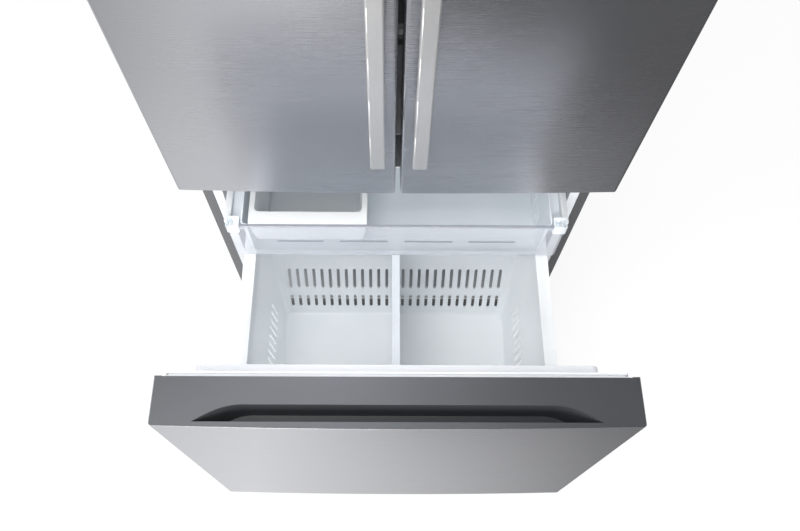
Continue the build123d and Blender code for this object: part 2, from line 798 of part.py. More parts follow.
def upper_basket():
    """Shallow basket, open at the front, with side lips and a bracket at each corner."""
    y0 = upper_y0 + tray_wall + fit
    outer, inner = tapered_tray(
        -upper_half, upper_half, y0, upper_y1, upper_z0, upper_z1 - 2,
        upper_draft, 0.0, upper_draft, tray_wall, 10.0,
    )
    lip = up(rect(-lip_x, lip_x, upper_y0 + bracket_back, upper_y1 - 10), lip_z - tray_wall, lip_z)
    mouth_x = upper_half - upper_draft - tray_wall - 2
    mouth = rect(-mouth_x, mouth_x, upper_z0 + upper_sill, upper_z1)
    tray = outer + lip - inner - back(mouth, y0 - 1, y0 + 2 * tray_wall)
    base = rect(upper_half - tray_wall, bracket_end, y0, upper_y0 + bracket_back)
    post = rect(upper_half + 3, bracket_end, upper_y0 - bracket_front, upper_y0 + bracket_back, 4.0)
    bracket = up(base, lip_z - tray_wall, lip_z) + up(post, lip_z - tray_wall, upper_z1 + 1)
    bracket = bracket - up(offset(post, -tray_wall), lip_z, upper_z1 + 2)
    low, high = upper_vent_rows
    for k in range(upper_vent_count):
        y = upper_y0 + upper_vent_start + k * upper_vent_pitch
        vent = slot(y, upper_z0 + low, upper_z0 + high, upper_vent_width)
        tray = tray - across(vent, -upper_half - 1, upper_half + 1)
    return tray + bracket + other_side(bracket)


def upper_basket_front():
    """Clear front panel with a rolled top edge and four long air slots."""
    top = upper_half + 2.0
    wide = bracket_end - tray_wall
    face = rect(-wide, wide, upper_z0, ledge_z) + rect(-top, top, ledge_z - 1, upper_z1)
    face = fillet(face.vertices().group_by(Axis.Y)[0], upper_corner)
    panel = back(face, upper_y0, upper_y0 + tray_wall)
    edge = rect(upper_y0 - 4.0, upper_y0 + tray_wall, upper_z1 - 5.0, upper_z1, 1.4)
    panel = panel + across(edge, -top, top)
    for x0, x1 in upper_slots:
        for side in (-1, 1):
            middle = side * (x0 + x1) / 2
            reach = (x1 - x0) / 2
            z = upper_z1 - upper_slot_drop
            slot = rect(middle - reach, middle + reach, z - upper_slot_half_height, z + upper_slot_half_height)
            panel = panel - back(slot, upper_y0 - 1, upper_y0 + tray_wall + 1)
    return panel


def ice_bin():
    """Ice bin with a deep front rim, a hanging grip skirt and a tapered tub."""
    x0 = -ice_left
    x1 = -ice_right
    y0 = upper_y0 + tray_wall + 1.0
    z0 = upper_z0 + tray_wall + fit
    z1 = upper_z1
    tub_y0 = y0 + ice_rim_front - tray_wall
    outer, inner = tapered_tray(
        x0 + ice_rim_side - tray_wall, x1 - ice_rim_side + tray_wall, tub_y0, y0 + ice_depth,
        z0, z1 - 0.5, 10.0, 10.0, 10.0, tray_wall, 14.0,
    )
    rim = up(rect(x0, x1, y0, y0 + ice_depth + 4, 6.0), z1 - tray_wall, z1)
    tub = outer + rim
    drop = 11.0
    skirt = Polyline(
        (x0 + drop, z1 - ice_skirt), (x1 - drop, z1 - ice_skirt), (x1, z1 - 1), (x0, z1 - 1), close=True
    )
    plate = make_face(skirt)
    plate = fillet(plate.vertices().sort_by(Axis.Y)[:2], 9.0)
    tub = tub + back(plate, y0, y0 + tray_wall)
    return tub - inner


def upper_basket_slides():
    """Moving slides of the upper basket: a tongue, a web and a ledge for its lip."""
    section = rect(slide_web, web_end, upper_web_z, upper_web_z + upper_web_height)
    section = section + rect(web_end - 1, tongue_x1, tongue_z, tongue_z + tongue_height)
    section = section + rect(slide_web - slide_ledge, slide_web + 1, ledge_z - tray_wall, ledge_z)
    y0 = upper_y0 + bracket_back + 1.0
    return both_sides(back(section, y0, upper_y1 - 20.0))


def basket_tracks():
    """Channels on the freezer's sides that the upper slides run in."""
    x0 = bracket_end + 3.0
    body = rect(x0, liner_half - fit, tongue_z - 5.0, tongue_z + tongue_height + 5.0, 1.5)
    groove = rect(x0 - 1, tongue_x1 + play, tongue_z - play, tongue_z + tongue_height + play)
    return both_sides(back(body - groove, upper_y0, slide_y1))


# ------------------------------------------------------------------------ liners
def cavity_profile(grow):
    """Side profile of the freezer's hollow, with its sloped step over the machine compartment."""
    front = flange_y - 10.0
    points = [
        (front, freezer_floor),
        (step_y, freezer_floor),
        (step_top_y, step_z),
        (freezer_back, step_z),
        (freezer_back, freezer_top),
        (front, freezer_top),
    ]
    face = make_face(Polyline(*points, close=True))
    if grow > 0:
        face = offset(face, grow, kind=Kind.INTERSECTION)
    return fillet([v for v in face.vertices() if v.X > front + 1], freezer_radius)


def freezer_liner():
    """Formed liner with the step over the machine compartment and a front lip."""
    outer = across(cavity_profile(liner_wall), -liner_half - liner_wall, liner_half + liner_wall)
    outer = outer - block(-half, half, flange_y - 20, flange_y + fit, 0, case_height)
    lip_x = half - flange_width - fit
    lip = rect(-lip_x, lip_x, pan_top + fit, freezer_top + liner_wall)
    outer = outer + back(lip, flange_y + fit, flange_y + fit + liner_wall)
    return outer - across(cavity_profile(0.0), -liner_half, liner_half)


def fridge_cavity(grow, y0):
    section = rect(
        -liner_half - grow, liner_half + grow, fridge_floor - grow, fridge_top + grow, liner_radius + grow
    )
    return back(section, y0, fridge_back + grow)


def fridge_liner():
    outer = fridge_cavity(liner_wall, flange_y + fit)
    lip_x = half - flange_width - fit
    lip = rect(-lip_x, lip_x, fridge_floor - liner_wall, case_height - 20.0)
    outer = outer + back(lip, flange_y + fit, flange_y + fit + liner_wall)
    return outer - fridge_cavity(0.0, flange_y - 10)


def mullion_bar():
    """Steel channel across the front between the two compartments."""
    z0 = freezer_top + liner_wall + fit
    z1 = fridge_floor - liner_wall - fit
    x = half - flange_width - fit
    profile = rect(flange_y, flange_y + mullion_depth, z0, z1)
    profile = profile - rect(flange_y + sheet, flange_y + mullion_depth + 1, z0 + sheet, z1 - sheet)
    return across(profile, -x, x)


# ---------------------------------------------------------------- cabinet shell
def side_panel():
    """Folded steel side with front and rear flanges."""
    outer = rect(half - flange_width, half, flange_y, rear_y)
    inside = rect(half - flange_width - 1, half - sheet, flange_y + sheet, rear_y - sheet)
    plan = outer - inside
    plan = plan - rect(half - flange_width - 1, half - rear_flange, rear_y - 2 * sheet, rear_y + 1)
    return up(plan, skirt_bottom, case_height)


def top_panel():
    """Top sheet between the sides, with a folded front edge."""
    x = half - sheet - fit
    flange_x = half - flange_width - fit
    sheet_part = block(-x, x, flange_y + sheet + fit, rear_y - sheet - fit, case_height - sheet, case_height)
    nose = block(-flange_x, flange_x, flange_y, flange_y + sheet, case_height - 20 + fit, case_height)
    nose = nose + block(-flange_x, flange_x, flange_y, flange_y + 8, case_height - sheet, case_height)
    return sheet_part + nose


def rear_panel():
    """Flat back above the machine compartment, with a few pressed ribs."""
    x = half - rear_flange - fit
    z0 = machine_height + fit
    z1 = case_height - sheet - fit
    plate = back(rect(-x, x, z0, z1), rear_y - sheet, rear_y)
    for k in range(rib_count):
        middle = -x + 2 * x * (k + 0.5) / rib_count
        half_rib = rib_width_rear / 2
        rib = rect(middle - half_rib, middle + half_rib, z0 + 120, z1 - 120, half_rib - 1)
        plate = plate - back(rib, rear_y - sheet / 3, rear_y + 1)
    return plate


def base_pan():
    """Base tray with turned-down edges and holes for the feet."""
    x = half - sheet - fit
    pan = block(-x, x, flange_y + sheet + fit, rear_y - sheet - fit, pan_bottom, pan_top)
    front = block(-x, x, flange_y + sheet + fit, flange_y + 2 * sheet + fit, skirt_bottom + 6, pan_top)
    pan = pan + front
    for side in (-1, 1):
        y = flange_y + foot_back
        x_foot = side * (half - foot_side)
        boss = disc_z(x_foot, y, pan_bottom - 10, pan_top, stem_radius + 6)
        pan = pan + boss
        pan = pan - disc_z(x_foot, y, 0, pan_top + 1, stem_radius + play / 2)
    return pan


def machine_profile():
    """Side profile of the machine compartment, under the slope of the freezer's step."""
    points = [
        (machine_y, 0),
        (machine_y, freezer_floor),
        (machine_top_y, machine_height),
        (rear_y + 1, machine_height),
        (rear_y + 1, 0),
    ]
    return make_face(Polyline(*points, close=True))


def insulation_foam():
    """Foamed-in-place insulation between the steel shell and the liners."""
    x = half - sheet - fit
    y0 = flange_y + fit + liner_wall + fit
    z1 = case_height - sheet - fit
    foam = block(-x, x, y0, rear_y - sheet - fit, pan_top + fit, z1)
    gap = liner_wall + fit
    foam = foam - across(cavity_profile(gap), -liner_half - gap, liner_half + gap)
    foam = foam - fridge_cavity(gap, flange_y - 10)
    foam = foam - across(machine_profile(), -half, half)
    z0 = freezer_top + liner_wall
    bar = block(-half, half, flange_y, flange_y + mullion_depth + fit, z0, fridge_floor - liner_wall)
    foam = foam - bar
    for side in (-1, 1):
        stem_x = side * (half - foot_side)
        well = disc_z(stem_x, flange_y + foot_back, pan_top, pan_top + 34, stem_radius + 2)
        foam = foam - well
    return foam


# ------------------------------------------------------------- fitted in freezer
def evaporator_cover():
    """Rear cover of the freezer with the fan grille and return-air louvres."""
    z0 = step_z + freezer_radius + 1
    z1 = freezer_top - freezer_radius - 1
    shell = back(rect(-evap_half, evap_half, z0, z1, 8.0), cover_y, freezer_back - fit)
    shell = shell - back(
        rect(-evap_half + cover_wall, evap_half - cover_wall, z0 + cover_wall, z1 - cover_wall, 5.0),
        cover_y + cover_wall, freezer_back,
    )
    fan_z = freezer_top - evap_fan_drop
    ring_gap = 9.0
    for k in range(4):
        r1 = evap_fan_radius - 4 - k * (ring_gap + 4)
        ring = Pos(0, fan_z) * (Circle(r1) - Circle(r1 - ring_gap))
        ring = ring - Pos(0, fan_z) * Rectangle(2 * evap_fan_radius, 5.0)
        ring = ring - Pos(0, fan_z) * Rectangle(5.0, 2 * evap_fan_radius)
        shell = shell - back(ring, cover_y - 1, cover_y + cover_wall + 1)
    for row in range(5):
        z = z0 + 22.0 + row * 13.0
        for k in range(-3, 4):
            louvre = rect(k * 86 - 32, k * 86 + 32, z, z + 6)
            shell = shell - back(louvre, cover_y - 1, cover_y + cover_wall + 1)
    return shell


def fan_rotor(radius, thick, y0):
    """Axial rotor: a hub and pitched blades about the Y axis at the origin."""
    rotor = back(Circle(fan_hub), y0, y0 + thick)
    reach = radius - fan_hub + 3
    blade = Box(reach, 2.0, 0.5 * radius)
    for k in range(fan_blades):
        one = Pos(fan_hub - 3 + reach / 2, y0 + thick / 2, 0) * Rot(32, 0, 0) * blade
        rotor = rotor + Rot(0, k * 360 / fan_blades, 0) * one
    limit = back(Circle(radius), y0, y0 + thick)
    return rotor & limit


def evaporator_fan():
    y0 = cover_y + cover_wall + 3.0
    rotor = fan_rotor(evap_fan_radius - 3, fan_thick, y0)
    rotor = Pos(0, 0, freezer_top - evap_fan_drop) * rotor
    bore = disc_y(0, freezer_top - evap_fan_drop, y0 + 4, y0 + fan_thick + 1, 3.0 + play)
    return rotor - bore


def serpentine(half_length, pitch, runs, radius, y, z):
    """Bent tube that runs back and forth across the width, going down."""
    points = []
    for k in range(runs):
        side = 1 if k % 2 == 0 else -1
        points.append((-side * half_length, y, z - k * pitch))
        points.append((side * half_length, y, z - k * pitch))
    path = FilletPolyline(*points, radius=pitch * 0.45)
    start = Plane(origin=path @ 0, z_dir=path % 0)
    return sweep(start * Circle(radius), path)


def evaporator_coil():
    """Cooling coil behind the cover, with the fan's motor on its bracket above it."""
    z = freezer_top - evap_fan_drop - evap_fan_radius - 22
    y = cover_y + evap_depth * 0.6
    fan_z = freezer_top - evap_fan_drop
    motor_y0 = cover_y + cover_wall + 3.0 + fan_thick + 2.0
    motor = disc_y(0, fan_z, motor_y0, freezer_back - fit, 20.0)
    spindle = disc_y(0, fan_z, motor_y0 - fan_thick + 3, motor_y0 + 1, 3.0)
    coil = serpentine(evap_half - 45.0, 26.0, 5, 4.5, y, z)
    ends = back(rect(evap_half - 66, evap_half - 62, z - 4 * 26 - 10, z + 12), y - 16, freezer_back - fit)
    return group(motor + spindle, coil + ends + other_side(ends))


# -------------------------------------------------------------- refrigerator
shelf_y0 = flange_y + shelf_front
shelf_y1 = fridge_back - 22.0
crisper_z0 = fridge_floor + pantry_height + 2 * crisper_gap
crisper_z1 = crisper_z0 + crisper_height
rear_fitting_z0 = crisper_z1 + shelf_thick + 22.0
rear_fitting_z1 = fridge_top - 40.0


def air_duct():
    """Raised duct cover up the rear wall with air vents."""
    z0 = rear_fitting_z0
    z1 = rear_fitting_z1
    y0 = fridge_back - duct_depth
    duct = back(rect(-duct_half, duct_half, z0, z1, 12.0), y0, fridge_back - fit)
    for k in range(vent_count):
        z = z0 + (z1 - z0) * (k + 0.5) / vent_count
        for side in (-1, 1):
            vent = rect(side * 42 - 26, side * 42 + 26, z - 5, z + 5, 4.5)
            duct = duct - back(vent, y0 - 1, y0 + 6)
    return duct


def shelf_tracks():
    """Slotted uprights that the shelves hook into."""
    z0 = rear_fitting_z0
    z1 = rear_fitting_z1
    y0 = fridge_back - 8.0
    tracks = []
    for x in (-liner_half + 30, -duct_half - 20, duct_half + 20, liner_half - 30):
        bar = rect(x - track_width / 2, x + track_width / 2, z0, z1)
        count = int((z1 - z0) / 60)
        for k in range(count):
            z = z0 + 30 + k * 60
            bar = bar - rect(x - 3, x + 3, z - 12, z + 12)
        tracks.append(back(bar, y0, fridge_back - fit))
    return group(*tracks)


def framed_glass(x0, x1, y0, y1, z1):
    """Glass panel in a moulded frame, seen from above as one slab with a rebate."""
    frame = up(rect(x0, x1, y0, y1, 8.0), z1 - shelf_thick, z1)
    pane = rect(x0 + glass_frame, x1 - glass_frame, y0 + glass_frame, y1 - glass_frame, 3.0)
    frame = frame - up(pane, z1 - 1.0, z1 + 1)
    return frame - up(pane, z1 - shelf_thick - 1, z1 - 1.0 - glass_thick)


def glass_shelves():
    """Half-width shelves each side, and full-width ones over and under the crispers."""
    shelves = []
    x_out = liner_half - 4.0
    for side in (-1, 1):
        for level in shelf_levels:
            z = fridge_floor + level - (shelf_step if side > 0 else 0.0)
            x0 = min(side * 6.0, side * x_out)
            x1 = max(side * 6.0, side * x_out)
            shelf = framed_glass(x0, x1, shelf_y0, shelf_y1, z)
            arm_x = side * (liner_half - 30)
            near_x = side * (duct_half + 20)
            for x in (arm_x, near_x):
                hook = rect(shelf_y1 - 60, fridge_back - 8.0 - fit, z - shelf_thick - 14, z - 4, 3.0)
                shelf = shelf + across(hook, x - hook_half, x + hook_half)
            shelves.append(shelf)
    cover_x = liner_half - fit
    for z in (crisper_z0 - fit, crisper_z1 + shelf_thick + crisper_gap):
        shelves.append(framed_glass(-cover_x, cover_x, shelf_y0, fridge_back - 20.0, z))
    return group(*shelves)


def drawer_tray(x0, x1, z0, z1):
    """Clear drawer with a deeper, bowed front."""
    y0 = shelf_y0 + 4.0
    outer, inner = tapered_tray(x0, x1, y0, shelf_y1 - 10, z0, z1, 6.0, 6.0, 12.0, tray_wall, 12.0)
    tray = outer - inner
    grip = rect(x0 + 30, x1 - 30, z1 - 26, z1 - 12, 6.0)
    return tray - back(grip, y0 - 5, y0 + 3.0 * tray_wall)


def crispers():
    """Two drawers side by side under the crisper shelf."""
    right = drawer_tray(crisper_gap, liner_half - crisper_gap, crisper_z0, crisper_z1)
    return both_sides(right)


def pantry_drawer():
    z0 = fridge_floor + fit
    x = liner_half - crisper_gap
    return drawer_tray(-x, x, z0, z0 + pantry_height)


# ------------------------------------------------------------------------ hinges
def door_hinges():
    """Top brackets on the case and middle plates between door and drawer."""
    base_z = case_height + fit
    plate_z = door_top + door_rise
    x0 = half - 70.0
    x1 = half - 6.0
    rise = Polyline(
        (pin_y - 14, plate_z), (flange_y + 26, plate_z), (flange_y + 30, base_z),
        (flange_y + 105, base_z), (flange_y + 105, base_z + hinge_plate),
        (flange_y + 34, base_z + hinge_plate), (flange_y + 28, plate_z + hinge_plate),
        (pin_y - 14, plate_z + hinge_plate), close=True,
    )
    top = across(make_face(rise), x0, x1)
    top = top + disc_z(pin_x, pin_y, door_top - pin_length, plate_z + hinge_plate, pin_radius)
    gap_z = drawer_top + front_gap / 2 - hinge_plate / 2
    cut = 11.0
    nose = 57.0
    plan = Polyline(
        (half - nose, front_y + 8), (half - cut - 3, front_y + 8), (half - 3, front_y + 8 + cut),
        (half - 3, flange_y - fit), (half - nose, flange_y - fit), close=True,
    )
    middle = up(make_face(plan), gap_z, gap_z + hinge_plate)
    middle = middle + block(
        half - nose, half - 3, flange_y - fit - hinge_plate, flange_y - fit, gap_z - 5, gap_z + hinge_plate
    )
    middle = middle + disc_z(pin_x, pin_y, gap_z, door_bottom + pin_length, pin_radius)
    collar_top = door_bottom + cap_recess - play
    middle = middle + disc_z(pin_x, pin_y, gap_z, min(collar_top, door_bottom), pin_radius + 4)
    return group(top, other_side(top), middle, other_side(middle))


def hinge_covers():
    """Moulded covers over the top hinges."""
    z0 = door_top + door_rise
    z1 = case_height + 36.0
    x0 = half - 88.0
    x1 = half - 3.0
    y0 = front_y + 18.0
    y1 = flange_y + 122.0
    profile = Polyline(
        (y0, z0), (y1, z0), (y1, z0 + 8), (y1 - 26, z1), (y0 + 20, z1), (y0, z0 + 14), close=True
    )
    face = make_face(profile)
    face = fillet(face.vertices().group_by(Axis.Y)[-1], 6.0)
    shell = across(face, x0, x1)
    wall = 2.5
    hollow = Polyline(
        (y0 + wall, z0 - 1), (y1 - wall, z0 - 1), (y1 - wall, z0 + 7), (y1 - 28, z1 - wall),
        (y0 + 22, z1 - wall), (y0 + wall, z0 + 13), close=True,
    )
    shell = shell - across(make_face(hollow), x0 + wall, x1 - wall)
    skirt = block(x0, x1, flange_y + 40, y1, case_height + fit, z0 + 0.01)
    skirt = skirt - block(x0 + wall, x1 - wall, flange_y + 39, y1 - wall, case_height, z0 + 1)
    return both_sides(shell + skirt)


# ---------------------------------------------------- machine compartment, base
def machine_cover():
    """Sheet cover of the machine compartment with rows of air slots."""
    x = half - rear_flange - fit
    z0 = pan_top + fit
    plate = back(rect(-x, x, z0, machine_height), rear_y - sheet, rear_y)
    for row in range(4):
        z = z0 + 45 + row * 32
        for k in range(-5, 6):
            if abs(k) > 0:
                slot = rect(k * 68 - 24, k * 68 + 24, z, z + 8, 3.9)
                plate = plate - back(slot, rear_y - sheet - 1, rear_y + 1)
    return plate


def compressor():
    """Hermetic compressor: welded shell on a footplate with rubber mounts."""
    r = compressor_radius
    z0 = pan_top + fit + 14
    h = compressor_height
    outline = Curve() + [
        Line((0, 0), (r * 0.82, 0)),
        ThreePointArc((r * 0.82, 0), (r * 0.96, h * 0.09), (r, h * 0.25)),
        Line((r, h * 0.25), (r, h * 0.55)),
        ThreePointArc((r, h * 0.55), (r * 0.8, h * 0.86), (0, h)),
        Line((0, h), (0, 0)),
    ]
    dome = revolve(Plane.XZ * make_face(outline), Axis.Z)
    x = -half + compressor_side
    y = rear_y - compressor_back
    dome = Pos(x, y, z0 + 3) * dome
    plate = up(Pos(x, y) * RectangleRounded(2.2 * r, 1.9 * r, 12), z0, z0 + 4)
    body = dome + plate
    mounts = []
    for sx in (-1, 1):
        for sy in (-1, 1):
            mounts.append(disc_z(x + sx * r * 0.94, y + sy * r * 0.78, pan_top + fit, z0 - fit, 11.0))
    pipe_path = FilletPolyline(
        (x, y, z0 + h), (x, y, z0 + h + 22), (x + 110, y, z0 + h + 22), (x + 110, y, z0 + 60), radius=9
    )
    pipe = sweep(Plane(origin=pipe_path @ 0, z_dir=pipe_path % 0) * Circle(4), pipe_path)
    return group(body + pipe, *mounts)


def condenser_coil():
    """Fin-and-tube condenser between the fan and the far side."""
    x1 = half - condenser_side
    x0 = x1 - condenser_length
    z0 = pan_top + fit
    z1 = z0 + condenser_height
    y0 = machine_y + step_slope * (z1 - freezer_floor) + 10
    y1 = rear_y - 40
    fins = []
    count = 11
    for k in range(count):
        x = x0 + (x1 - x0) * k / (count - 1)
        fins.append(across(rect(y0, y1, z0, z1, 4.0), x - 1, x + 1))
    coil = fins[0]
    for fin in fins[1:]:
        coil = coil + fin
    for y in (y0 + 30, (y0 + y1) / 2, y1 - 30):
        for z in (z0 + 35, z0 + 75, z0 + 115):
            coil = coil + disc_x(x0 - 12, x1 + 12, y, z, 4.0)
    return coil


fan_x = 60.0
fan_z = pan_top + 82.0
fan_y = rear_y - fan_back


def fan_shroud():
    """Fan ring plate with the motor held on two arms."""
    r = condenser_fan_radius + 4
    plate = rect(machine_y + 6, rear_y - 6, pan_top + fit, fan_z + r + 8, 6.0)
    plate = plate & offset(machine_profile(), -fit)
    plate = plate - Pos(fan_y, fan_z) * Circle(r)
    ring = across(plate, fan_x - 3, fan_x + 3)
    ring = ring + across(Pos(fan_y, fan_z) * (Circle(r + 4) - Circle(r)), fan_x - 14, fan_x + 14)
    motor = disc_x(fan_x + 16, fan_x + 46, fan_y, fan_z, 22.0)
    spindle = disc_x(fan_x - 4, fan_x + 17, fan_y, fan_z, 3.0)
    arm = across(rect(fan_y - r - 3, fan_y + r + 3, fan_z - 5, fan_z + 5), fan_x + 12, fan_x + 18)
    return ring + arm + motor + spindle


def condenser_fan():
    rotor = Rot(0, 0, 90) * fan_rotor(condenser_fan_radius, fan_thick, -fan_thick / 2)
    bore = disc_x(-5, fan_thick, 0, 0, 3.0 + play)
    rotor = rotor - bore
    return Pos(fan_x - 1, fan_y, fan_z) * rotor


def toe_grille():
    """Slotted toe grille along the front of the base."""
    x = half - 6.0
    z0 = toe_gap - 6.0 - grille_height
    y0 = flange_y - 16.0
    plate = rect(-x, x, z0, z0 + grille_height, 5.0)
    for row in range(2):
        for k in range(-9, 10):
            z = z0 + 10 + row * 13
            plate = plate - rect(k * 44 - 17, k * 44 + 17, z, z + 6, 2.9)
    grille = back(plate, y0, y0 + 3)
    for side in (-1, 1):
        lug_x = side * (x - 30)
        grille = grille + block(
            lug_x - 10, lug_x + 10, y0 + 2, flange_y + sheet, skirt_bottom + 8, skirt_bottom + 20
        )
    return grille


roller_y = rear_y - roller_back
roller_x = half - roller_side


def roller_brackets():
    """U brackets under the base pan, each with the axle of a rear roller."""
    inner = roller_width / 2 + play
    outer = inner + 2.0
    ear = Pos(roller_y, roller_radius) * Circle(10.0) + rect(
        roller_y - 24, roller_y + 24, roller_radius + 8, pan_bottom - fit
    )
    bracket = across(ear, roller_x - outer, roller_x - inner)
    bracket = bracket + across(ear, roller_x + inner, roller_x + outer)
    bracket = bracket + block(
        roller_x - outer, roller_x + outer, roller_y - 24, roller_y + 24, pan_bottom - fit - 2, pan_bottom - fit
    )
    axle = disc_x(roller_x - outer - 2, roller_x + outer + 2, roller_y, roller_radius, axle_radius)
    return both_sides(bracket + axle)


def roller():
    """Moulded roller with a rounded tread."""
    profile = rect(axle_radius + play / 2, roller_radius, -roller_width / 2, roller_width / 2)
    profile = fillet(profile.vertices().group_by(Axis.X)[-1], 2.5)
    wheel = revolve(Plane.XZ * profile, Axis.Z)
    return Pos(roller_x, roller_y, roller_radius) * Rot(0, 90, 0) * wheel


def foot():
    """Levelling foot: a turned pad and its stem."""
    outline = Curve() + [
        Line((0, 0), (foot_radius - 2, 0)),
        Line((foot_radius - 2, 0), (foot_radius, 2)),
        Line((foot_radius, 2), (foot_radius, foot_height - 3)),
        Line((foot_radius, foot_height - 3), (stem_radius + 5, foot_height)),
        Line((stem_radius + 5, foot_height), (stem_radius, foot_height)),
        Line((stem_radius, foot_height), (stem_radius, pan_top + 12)),
        Line((stem_radius, pan_top + 12), (0, pan_top + 12)),
        Line((0, pan_top + 12), (0, 0)),
    ]
    turned = revolve(Plane.XZ * make_face(outline), Axis.Z)
    return Pos(half - foot_side, flange_y + foot_back, 0) * turned


# ------------------------------------------------------------------------- build
os.makedirs("parts", exist_ok=True)

right_side = side_panel()
save("right_side_panel", right_side)
save("left_side_panel", other_side(right_side))
save("top_panel", top_panel())
save("rear_panel", rear_panel())
save("base_pan", base_pan())
save("insulation_foam", insulation_foam())
save("fridge_liner", fridge_liner())
save("freezer_liner", freezer_liner())
save("mullion_bar", mullion_bar())
save("evaporator_cover", evaporator_cover())
save("evaporator_coil", evaporator_coil())
save("evaporator_fan", evaporator_fan())
save("air_duct", air_duct())
save("shelf_tracks", shelf_tracks())
save("glass_shelves", glass_shelves())
save("crispers", crispers())
save("pantry_drawer", pantry_drawer())
save("door_hinges", door_hinges())
save("hinge_covers", hinge_covers())
save("machine_cover", machine_cover())
save("compressor", compressor())
save("condenser_coil", condenser_coil())
save("fan_shroud", fan_shroud())
save("condenser_fan", condenser_fan())
save("toe_grille", toe_grille())
save("roller_brackets", roller_brackets())
save("drawer_slide_fixed", drawer_slide_fixed())
save("drawer_racks", drawer_racks())
save("basket_tracks", basket_tracks())

door_pieces = (
    ("skin", door_skin), ("caps", door_caps), ("liner", door_liner),
    ("gasket", door_gasket), ("handle", door_handle), ("bins", door_bins),
)
for kind, make in door_pieces:
    right = make()
    save("right_door_" + kind, right)
    save("left_door_" + kind, other_side(right))
save("flipper_mullion", flipper_mullion())
save("flipper_hinges", flipper_hinges())

save("drawer_skin", drawer_skin(), drawer_travel)
save("drawer_caps", drawer_caps(), drawer_travel)
save("drawer_liner", drawer_liner(), drawer_travel)
save("drawer_gasket", drawer_gasket(), drawer_travel)
save("drawer_rails", drawer_rails(), drawer_travel)
save("lower_basket", lower_basket(), drawer_travel)
save("basket_divider", basket_divider(), drawer_travel)
save("anti_tilt_shaft", anti_tilt_shaft(), drawer_travel)
save("drawer_slide_middle", drawer_slide_middle(), middle_shift)
save("upper_basket", upper_basket(), basket_travel)
save("upper_basket_front", upper_basket_front(), basket_travel)
save("ice_bin", ice_bin(), basket_travel)
save("upper_basket_slides", upper_basket_slides(), basket_travel)

right_roller = roller()
save("right_roller", right_roller)
save("left_roller", other_side(right_roller))
right_foot = foot()
save("right_foot", right_foot)
save("left_foot", other_side(right_foot))
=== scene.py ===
import math

import bpy
from mathutils import Matrix, Vector


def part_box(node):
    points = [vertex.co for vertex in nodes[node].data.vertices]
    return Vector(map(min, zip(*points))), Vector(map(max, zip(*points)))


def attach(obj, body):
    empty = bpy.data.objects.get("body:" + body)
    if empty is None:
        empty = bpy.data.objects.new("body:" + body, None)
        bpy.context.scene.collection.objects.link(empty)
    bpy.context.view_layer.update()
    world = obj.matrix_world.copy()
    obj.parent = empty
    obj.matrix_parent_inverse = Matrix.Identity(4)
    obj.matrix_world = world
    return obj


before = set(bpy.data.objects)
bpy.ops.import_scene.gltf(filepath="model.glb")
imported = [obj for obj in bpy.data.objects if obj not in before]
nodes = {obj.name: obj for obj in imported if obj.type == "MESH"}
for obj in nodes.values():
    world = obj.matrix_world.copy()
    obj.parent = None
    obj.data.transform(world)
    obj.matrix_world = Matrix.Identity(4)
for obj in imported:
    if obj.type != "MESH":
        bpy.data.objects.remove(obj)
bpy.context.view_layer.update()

# ------------------------------------------------------------------ studio
# A plain pale floor and a white surround. What the metal mirrors is bright on
# the left and dark on the right, as beside a window. The lamps are soft boxes,
# and the camera looks down from in front, where the photograph was taken.
scene = bpy.context.scene
scene.view_settings.view_transform = "Standard"


class Wire:
    """A socket, with maths written as plain expressions."""

    def __init__(self, net, socket):
        self.net = net
        self.socket = socket

    def maths(self, operation, *others, clamp=False):
        sockets = dict(enumerate((self, *others)))
        return self.net.node("ShaderNodeMath", {"operation": operation, "use_clamp": clamp}, sockets)

    def __add__(self, other):
        return self.maths("ADD", other)

    def __sub__(self, other):
        return self.maths("SUBTRACT", other)

    def __rsub__(self, other):
        return self.maths("MULTIPLY", -1.0) + other

    def __mul__(self, other):
        return self.maths("MULTIPLY", other)

    def __truediv__(self, other):
        return self.maths("DIVIDE", other)

    __radd__ = __add__
    __rmul__ = __mul__

    def size(self):
        """The number without its sign."""
        return self.maths("ABSOLUTE")

    def rise(self, low, high):
        """0 below low, 1 above high, and an even climb between them."""
        return self.maths("SUBTRACT", low).maths("DIVIDE", high - low, clamp=True)

    def band(self, low, high, soft):
        """1 between low and high, with soft edges."""
        return self.rise(low - soft, low) * (1.0 - self.rise(high, high + soft))


class Nodes:
    """A tree of nodes, all made by one method."""

    def __init__(self, tree):
        self.tree = tree

    def feed(self, socket, value):
        if isinstance(value, Wire):
            self.tree.links.new(value.socket, socket)
        else:
            socket.default_value = value

    def node(self, kind, settings=None, sockets=None, out=0):
        made = self.tree.nodes.new(kind)
        for label, value in (settings or {}).items():
            if label == "stops":
                ramp = made.color_ramp.elements
                while len(ramp) < len(value):
                    ramp.new(0.5)
                for stop, (place, level) in zip(ramp, value):
                    stop.position = place
                    stop.color = (level, level, level, 1)
            else:
                setattr(made, label, value)
        for label, value in (sockets or {}).items():
            self.feed(made.inputs[label], value)
        return Wire(self, made.outputs[out])

    def ramp(self, level, stops):
        """A level that follows a curve of (place, level) stops."""
        return self.node("ShaderNodeValToRGB", {"stops": stops}, {0: level})

    def letter(self, way, letter):
        return self.node("ShaderNodeSeparateXYZ", sockets={0: way}, out=letter)

    def ray(self, kind):
        """1 for rays of this kind, otherwise 0."""
        return self.node("ShaderNodeLightPath", out=f"Is {kind} Ray")


